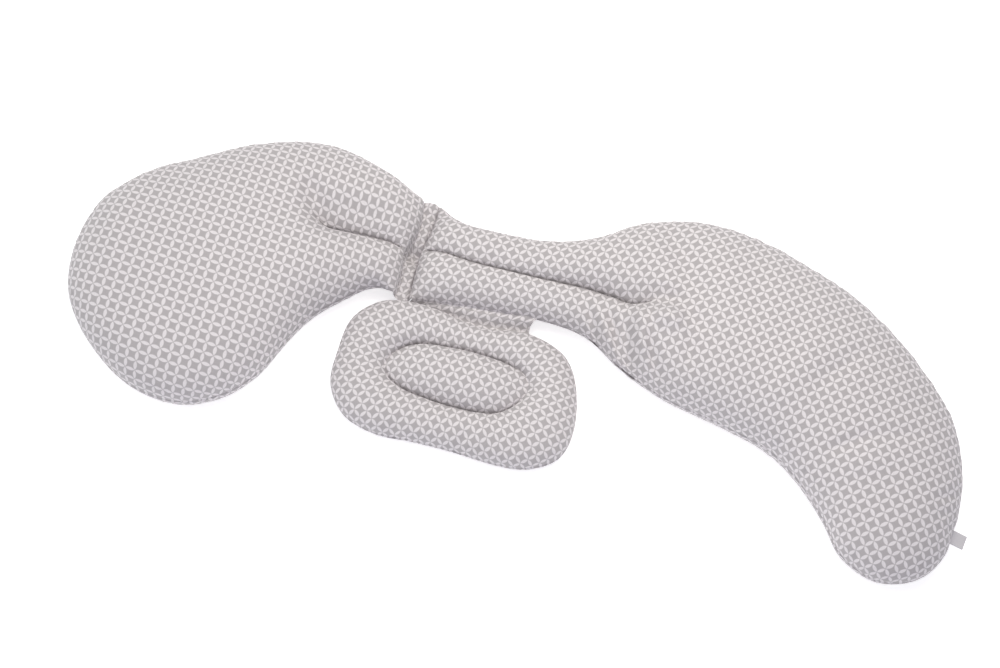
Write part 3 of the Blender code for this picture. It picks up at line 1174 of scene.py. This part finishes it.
def petal_group() -> Tree:
    """The print's mask: petals where circles round neighbouring cells overlap."""
    sizes = {"Cloth": (0.0, 0.0, 0.0), "Pitch": 0.0161, "Circle": 0.674, "Blur": 0.034}
    tree, g, given, result = new_group("petal_print", sizes, ("Petal",))
    cells = g.scale(given["Cloth"], g.math("DIVIDE", 1.0, given["Pitch"]))
    split = g.node("ShaderNodeSeparateXYZ", {0: cells})
    offsets = [
        g.math("ABSOLUTE", g.math("SUBTRACT", g.math("FRACT", split.outputs[axis]), 0.5))
        for axis in (0, 1)
    ]
    reach = g.math("SUBTRACT", 1.0, g.math("MAXIMUM", *offsets))
    narrow = g.math("MINIMUM", *offsets)
    squares = [g.math("MULTIPLY", side, side) for side in (reach, narrow)]
    away = g.math("SQRT", g.math("ADD", *squares))
    low, high = (g.math(step, given["Circle"], given["Blur"]) for step in ("SUBTRACT", "ADD"))
    steps = {0: away, 1: low, 2: high, 3: 0.0, 4: 1.0}
    edge = g.node("ShaderNodeMapRange", steps, interpolation_type="SMOOTHSTEP")
    g.feed(result, {"Petal": g.math("SUBTRACT", 1.0, edge.outputs[0])})
    return tree


def knit_group() -> Tree:
    """Jersey: columns of small V stitches, as a height and a tone that is painted shade, darker
    where the threads lie lower and brighter where they stand higher.
    """
    sizes = {"Cloth": (0.0, 0.0, 0.0), "Column": 0.0011, "Course": 0.0009}
    tree, g, given, result = new_group("jersey_knit", sizes, ("Height", "Tone"))
    split = g.node("ShaderNodeSeparateXYZ", {0: given["Cloth"]})
    column = g.math("FRACT", g.math("DIVIDE", split.outputs[0], given["Column"]))
    lean = g.math("ABSOLUTE", g.math("SUBTRACT", column, 0.5))
    course = g.math("DIVIDE", split.outputs[1], given["Course"])
    phase = g.math("MULTIPLY", g.math("ADD", course, g.math("MULTIPLY", lean, 1.3)), 2 * math.pi)
    rows = g.math("MULTIPLY_ADD", g.math("SINE", phase), 0.5, 0.5)
    leg = g.math("ABSOLUTE", g.math("SINE", g.math("MULTIPLY", lean, 2 * math.pi)))
    relief = g.math("MULTIPLY_ADD", rows, 0.7, 0.3)
    height = g.math("MULTIPLY", relief, g.math("POWER", leg, 0.7))
    # The tone is painted shade: it follows the stitch height, darkening the hollows of the knit and
    # lightening its raised threads.
    g.feed(result, {"Height": height, "Tone": g.math("MULTIPLY_ADD", height, 0.16, 0.90)})
    return tree


def fibre_group() -> Tree:
    """Uneven dye and stray fibre: a fine speckle and a broad drift, both round 1."""
    sizes = {"Place": (0.0, 0.0, 0.0), "Speckle": 0.16, "Drift": 0.03}
    tree, g, given, result = new_group("fibre_variation", sizes, ("Tone",))
    tone = 1.0
    for strength, scale, detail in (("Speckle", 420.0, 2.0), ("Drift", 7.0, 1.0)):
        inputs = {"Vector": given["Place"], "Scale": scale, "Detail": detail}
        cloud = g.node("ShaderNodeTexNoise", inputs).outputs["Fac"]
        uneven = g.math("MULTIPLY", g.math("SUBTRACT", cloud, 0.5), given[strength])
        tone = g.math("ADD", tone, uneven)
    g.feed(result, {"Tone": tone})
    return tree


@dataclass(frozen=True)
class Cloth:
    """What the finishes of all cloths share."""

    name: str
    roughness: float
    gloss: float
    sheen: float
    sheen_roughness: float
    specular: float
    bump: float
    relief: float

    def begin(self, groups: dict[str, Tree]) -> tuple:
        """Starts the material.

        Args:
            groups: the shared node groups.

        Returns:
            The material, its node builder, the place on the flat cloth and the fibre's tone.
        """
        material = bpy.data.materials.new(self.name)
        material.use_nodes = True
        g = Group(material.node_tree)
        cloth = g.node("ShaderNodeUVMap", uv_map="print").outputs[0]
        place = g.node("ShaderNodeTexCoord").outputs["Object"]
        fibre = g.node("ShaderNodeGroup", node_tree=groups["fibre"])
        g.feed(fibre, {"Place": place})
        return material, g, cloth, fibre.outputs["Tone"]

    def finish(self, g: Group, colour: object, tone: Socket, height: Socket) -> None:
        """Feeds the shader.

        Args:
            g: the material's node builder.
            colour: the cloth's colour.
            tone: what that colour is multiplied with: the fibre's uneven tone times a painted shade
                that follows the height of the threads.
            height: the height of the cloth's threads, from 0 to 1.
        """
        bump = g.node("ShaderNodeBump", {"Strength": self.bump, "Distance": self.relief})
        g.feed(bump, {"Height": height})
        inputs = {
            "Base Color": g.scale(colour, tone),
            "Roughness": g.math("MULTIPLY_ADD", height, self.gloss, self.roughness),
            "Sheen Weight": self.sheen,
            "Sheen Roughness": self.sheen_roughness,
            "Specular IOR Level": self.specular,
            "Normal": bump.outputs[0],
        }
        g.feed(g.tree.nodes["Principled BSDF"], inputs)


@dataclass(frozen=True)
class PrintedJersey(Cloth):
    """Soft cotton jersey with a printed repeat of petals in a ring."""

    name: str = "printed_jersey"
    roughness: float = 0.92
    gloss: float = -0.06
    sheen: float = 0.25
    sheen_roughness: float = 0.45
    specular: float = 0.25
    bump: float = 0.35
    relief: float = 0.0004
    petal: Colour = (0.750, 0.714, 0.735)
    ground: Colour = (0.445, 0.419, 0.432)
    pitch: float = 0.0161
    circle: float = 0.680
    blur: float = 0.048

    def build(self, groups: dict[str, Tree]) -> bpy.types.Material:
        """Builds the material from the shared node groups."""
        material, g, cloth, fibre = self.begin(groups)
        printed = g.node("ShaderNodeGroup", node_tree=groups["petal"])
        sizes = {"Pitch": self.pitch, "Circle": self.circle, "Blur": self.blur}
        g.feed(printed, {"Cloth": cloth, **sizes})
        knit = g.node("ShaderNodeGroup", node_tree=groups["knit"])
        g.feed(knit, {"Cloth": cloth})
        colours = {0: printed.outputs["Petal"], 6: (*self.ground, 1.0), 7: (*self.petal, 1.0)}
        colour = g.node("ShaderNodeMix", colours, data_type="RGBA").outputs[2]
        # The print colour is multiplied by the knit's painted shade of its stitch hollows and by
        # the fibre's uneven tone.
        tone = g.math("MULTIPLY", knit.outputs["Tone"], fibre)
        self.finish(g, colour, tone, knit.outputs["Height"])
        return material


@dataclass(frozen=True)
class SatinRibbon(Cloth):
    """Plain woven satin ribbon with a fine cross rib."""

    name: str = "label_ribbon"
    roughness: float = 0.48
    gloss: float = -0.08
    sheen: float = 0.15
    sheen_roughness: float = 0.3
    specular: float = 0.5
    bump: float = 0.2
    relief: float = 0.0002
    colour: Colour = (0.58, 0.562, 0.585)
    rib: float = 0.0006

    def build(self, groups: dict[str, Tree]) -> bpy.types.Material:
        """Builds the material from the shared node groups."""
        material, g, cloth, fibre = self.begin(groups)
        split = g.node("ShaderNodeSeparateXYZ", {0: cloth})
        turn = g.math("MULTIPLY", split.outputs[1], 2 * math.pi / self.rib)
        rib = g.math("MULTIPLY_ADD", g.math("SINE", turn), 0.5, 0.5)
        # The rib's part of the tone is painted shade: darker in the grooves between ribs and
        # brighter on their crests.
        tone = g.math("MULTIPLY", fibre, g.math("MULTIPLY_ADD", rib, 0.05, 0.97))
        self.finish(g, self.colour, tone, rib)
        return material


# --- the studio ---


@dataclass(frozen=True)
class Lamp:
    """A square soft light that faces the pillow."""

    name: str
    place: Point
    size: float
    energy: float
    colour: Colour


@dataclass(frozen=True)
class Studio:
    """A plain pale floor, soft light from all round, and the camera."""

    target: Point = (-0.013, 0.0325, 0.060)
    elevation: float = math.radians(67.0)
    distance: float = 3.0917
    lens: float = 70.0
    floor_size: float = 14.0
    floor_gap: float = 0.0004
    floor_colour: float = 0.86
    floor_glow: float = 0.50
    sky: float = 0.47
    sky_colour: Colour = (1.0, 1.0, 1.09)
    lamps: tuple[Lamp, ...] = (
        Lamp("near_light", (0.25, 0.45, 1.5), 1.2, 8.6, (1.04, 1.0, 0.80)),
        Lamp("top_light", (0.1, 0.3, 2.8), 2.0, 27.5, (1.01, 1.0, 0.99)),
        Lamp("front_light", (-0.6, -2.6, 1.5), 2.0, 5.4, (0.98, 1.0, 1.25)),
        Lamp("left_light", (-2.3, 0.2, 1.3), 1.6, 9.1, (0.96, 1.0, 0.85)),
    )

    def build(self) -> None:
        """Sets the scene up."""
        self.lay_floor()
        self.light()
        self.place_camera()
        bpy.context.scene.view_settings.view_transform = "Standard"

    def lay_floor(self) -> None:
        """Lays the floor."""
        bpy.ops.object.select_all(action="DESELECT")
        bpy.ops.mesh.primitive_plane_add(size=self.floor_size, location=(0, 0, -self.floor_gap))
        floor = bpy.context.object
        floor.name = "studio_floor"
        material = bpy.data.materials.new("studio_floor")
        material.use_nodes = True
        inputs = {
            "Base Color": (*[self.floor_colour] * 3, 1.0),
            "Roughness": 0.95,
            "Specular IOR Level": 0.0,
            "Emission Color": (1.0, 1.0, 1.0, 1.0),
            "Emission Strength": self.floor_glow,
        }
        Group(material.node_tree).feed(material.node_tree.nodes["Principled BSDF"], inputs)
        floor.data.materials.append(material)

    def light(self) -> None:
        """Hangs the soft light and lights the walls."""
        world = bpy.data.worlds.new("studio_walls")
        world.use_nodes = True
        inputs = {"Color": (*self.sky_colour, 1.0), "Strength": self.sky}
        Group(world.node_tree).feed(world.node_tree.nodes["Background"], inputs)
        bpy.context.scene.world = world
        for lamp in self.lamps:
            light = bpy.data.lights.new(lamp.name, "AREA")
            light.energy, light.size, light.color = lamp.energy, lamp.size, lamp.colour
            aim = Vector(self.target) - Vector(lamp.place)
            self.hang(lamp.name, light, lamp.place, aim.to_track_quat("-Z", "Y").to_euler())

    def place_camera(self) -> None:
        """Points the camera at the pillow from the photograph's angle."""
        lens = bpy.data.cameras.new("camera")
        lens.lens = self.lens
        lens.sensor_width = 36.0
        back = Vector((0.0, -math.cos(self.elevation), math.sin(self.elevation)))
        place, turn = Vector(self.target) + self.distance * back, math.pi / 2 - self.elevation
        bpy.context.scene.camera = self.hang("camera", lens, place, (turn, 0.0, 0.0))

    def hang(self, name: str, data: bpy.types.ID, place: Vector, turn: tuple) -> Piece:
        """Hangs a lamp or a camera in the studio."""
        hung = bpy.data.objects.new(name, data)
        hung.location = place
        hung.rotation_euler = turn
        bpy.context.scene.collection.objects.link(hung)
        return hung


# --- the pillow ---


def each(kind: type, *rows: tuple) -> tuple:
    """Makes one thing of a kind from each row, whose columns are its fields in order."""
    return tuple(kind(*row) for row in rows)


HEAD = Cushion(
    node="head_cushion",
    tufts=each(
        Tuft,
        (-0.166, 0.184, 0.006), (-0.192, 0.196, 0.012), (-0.216, 0.201, 0.015),
        (-0.244, 0.206, 0.017), (-0.273, 0.211, 0.019), (-0.296, 0.215, 0.024, 0.6),
        (-0.31, 0.226, 0.042, 0.1),
    ),
    creases=each(
        Crease,
        ((-0.31, 0.245), (-0.18, 0.222), 0.01, 0.024),
        ((-0.322, 0.29), (-0.302, 0.212), 0.015, 0.018),
        ((-0.345, 0.19), (-0.25, 0.18), -0.002, 0.022),
        ((-0.64, 0.12), (-0.61, 0.25), -0.004, 0.025),
        ((-0.59, 0.275), (-0.48, 0.31), 0.004, 0.022),
        ((-0.44, 0.2), (-0.4, 0.02), 0.003, 0.028),
    ),
    drawn=each(
        Spot,
        (-0.19, 0.11, 0.54, 0.075), (-0.28, 0.09, 0.54, 0.085), (-0.36, 0.01, 0.48, 0.09),
        (-0.139, 0.279, 0.95, 0.022), (-0.148, 0.25, 0.62, 0.045), (-0.165, 0.16, 0.62, 0.045),
    ),
    weave=each(
        Weave,
        (-0.6, -19.8, 0.912, 1.061, 0.052), (-0.49, -16.4, 1.007, 1.025, 0.044),
        (-0.365, -15.4, 1.038, 1.005, 0.042), (-0.24, -14.3, 1.13, 1.02, 0.035),
    ),
)
BODY = Cushion(
    node="body_cushion",
    tufts=each(
        Tuft,
        (-0.141, 0.191, 0.006), (-0.112, 0.185, 0.016), (-0.067, 0.167, 0.021),
        (-0.013, 0.15, 0.023), (0.084, 0.122, 0.023), (0.124, 0.11, 0.024), (0.167, 0.093, 0.024),
        (0.201, 0.077, 0.03), (0.224, 0.075, 0.044, 0.4),
    ),
    creases=each(
        Crease,
        ((0.215, 0.082), (0.272, 0.066), 0.01, 0.014),
        ((0.255, 0.215), (0.305, 0.055), 0.012, 0.024),
        ((0.25, 0.085), (0.315, 0.005), 0.006, 0.014),
        ((0.128, 0.072), (0.142, 0.008), 0.009, 0.006),
        ((0.144, 0.066), (0.16, 0.004), -0.004, 0.006),
        ((0.16, 0.064), (0.178, -0.016), 0.013, 0.007),
        ((0.182, 0.046), (0.194, -0.046), 0.018, 0.01),
        ((0.208, 0.064), (0.214, -0.024), -0.012, 0.011),
        ((0.226, 0.048), (0.27, 0.022), -0.014, 0.017),
        ((0.216, 0.018), (0.238, -0.066), 0.0095, 0.008),
        ((0.284, 0.03), (0.28, -0.05), 0.006, 0.01),
        ((0.462, -0.09), (0.562, -0.018), 0.0045, 0.016),
        ((0.48, -0.187), (0.545, -0.165), 0.0045, 0.01),
        ((0.53, -0.168), (0.64, -0.16), 0.0032, 0.012),
        ((0.5, -0.215), (0.58, -0.2), -0.0035, 0.018),
        ((0.4, -0.12), (0.47, -0.01), -0.004, 0.03),
        ((0.64, -0.262), (0.7, -0.238), 0.004, 0.008),
        ((0.645, -0.284), (0.69, -0.268), 0.003, 0.007),
        ((0.18, 0.18), (0.2, 0.12), 0.004, 0.018),
        ((0.38, 0.02), (0.4, 0.16), 0.003, 0.03),
    ),
    drawn=each(
        Spot,
        (-0.12, 0.11, 0.62, 0.06), (-0.05, 0.09, 0.62, 0.06), (0.02, 0.07, 0.62, 0.06),
        (0.11, 0.03, 0.52, 0.08), (0.2, -0.04, 0.5, 0.09), (0.33, -0.11, 0.46, 0.09),
        (-0.112, 0.272, 0.95, 0.022), (-0.125, 0.24, 0.62, 0.04), (-0.145, 0.15, 0.62, 0.04),
        (0.65, -0.33, 0.5, 0.11),
    ),
    nips=each(Spot, (0.678, -0.298, 0.006, 0.02), (0.69, -0.262, 0.005, 0.03)),
    weave=each(
        Weave,
        (0.0, 29.2, 1.08, 1.077, -0.007), (0.24, 25.0, 1.085, 1.045, -0.01),
        (0.42, 23.7, 1.02, 1.08, -0.055), (0.62, 24.6, 1.04, 1.07, -0.03),
        (0.7, 26.2, 1.03, 1.08, -0.06),
    ),
)
PAD = Cushion(
    node="belly_pad",
    tufts=each(
        Tuft,
        (-0.137, 0.026, 0.01), (-0.094, 0.02, 0.01), (-0.043, 0.007, 0.01),
        (-0.001, -0.009, 0.011), (0.024, -0.027, 0.014, 0.3), (0.032, -0.049, 0.016, 0.05),
        (0.015, -0.076, 0.014, 0.4), (-0.018, -0.093, 0.011), (-0.051, -0.091, 0.01),
        (-0.085, -0.083, 0.01), (-0.126, -0.069, 0.01), (-0.169, -0.05, 0.012),
        (-0.19, -0.032, 0.013, 0.4), (-0.197, -0.013, 0.015, 0.05), (-0.187, 0.006, 0.014, 0.3),
        (-0.166, 0.02, 0.012),
    ),
    gathers=Gathers(cut=0.0045, cut_width=0.0014),
    closed=True,
    stuffing=Stuffing(fullness=0.8, slit=0.007),
    creases=each(
        Crease,
        ((-0.166, -0.105), (-0.19, -0.14), 0.0035, 0.008),
        ((-0.066, -0.128), (-0.082, -0.162), 0.0045, 0.008),
        ((-0.16, -0.062), (-0.19, -0.085), 0.002, 0.01),
        ((-0.1, -0.095), (-0.13, -0.125), -0.002, 0.014),
        ((-0.03, -0.11), (-0.04, -0.15), -0.002, 0.014),
    ),
    drawn=each(
        Spot,
        (-0.1, 0.085, 0.5, 0.05), (0.0, 0.055, 0.5, 0.05), (0.03, -0.048, 0.68, 0.032),
        (-0.195, -0.012, 0.68, 0.032),
    ),
    weave=each(Weave, (0.0, 30.3, 1.07, 1.055, -0.03)),
    island_draw=1.16,
    fill=0.6,
)
HEAD_HINGE = Hinge(
    node="head_hinge",
    first_ends=((-0.139, 0.28), (-0.184, 0.111)),
    second_ends=((-0.111, 0.274), (-0.16, 0.108)),
    print_from_first=False,
    lift=-0.011,
    dips=each(Spot, (-0.153, 0.187, 0.022, 0.018), (-0.13, 0.25, 0.004, 0.026)),
    tucks=(-0.004, -0.007),
    first_depth=0.011,
    second_depth=0.009,
    seam_width=0.0015,
    gather_height=0.0042,
    gather_pitch=0.0075,
    step=0.0015,
)
PAD_HINGE = Hinge(
    node="pad_hinge",
    first_ends=((-0.157, 0.107), (0.049, 0.068)),
    second_ends=((-0.161, 0.103), (0.034, 0.045)),
    print_from_first=True,
    lift=0.004,
    drop=0.011,
    first_depth=0.009,
    second_depth=0.0,
    seam_fade=0.85,
    gather_height=0.0028,
    gather_pitch=0.0085,
    step=0.0018,
    tucks=(-0.003, 0.006),
)


def main() -> None:
    """Builds the pillow and its studio."""
    logging.basicConfig(level=logging.INFO, format="%(name)s: %(message)s")
    groups = {"petal": petal_group(), "knit": knit_group(), "fibre": fibre_group()}
    jersey = PrintedJersey().build(groups)
    ribbon = SatinRibbon().build(groups)
    cloths = [cushion.build() for cushion in (HEAD, BODY, PAD)]
    cloths += [HEAD_HINGE.build(HEAD, BODY), PAD_HINGE.build(BODY, PAD)]
    label = SideLabel().build(BODY.seam)
    for piece in [*cloths, label]:
        piece.data.materials.clear()
        piece.data.materials.append(ribbon if piece is label else jersey)
        log.info("%s has %d faces", piece.name, len(piece.data.polygons))
    Studio().build()


if __name__ == "__main__":
    main()
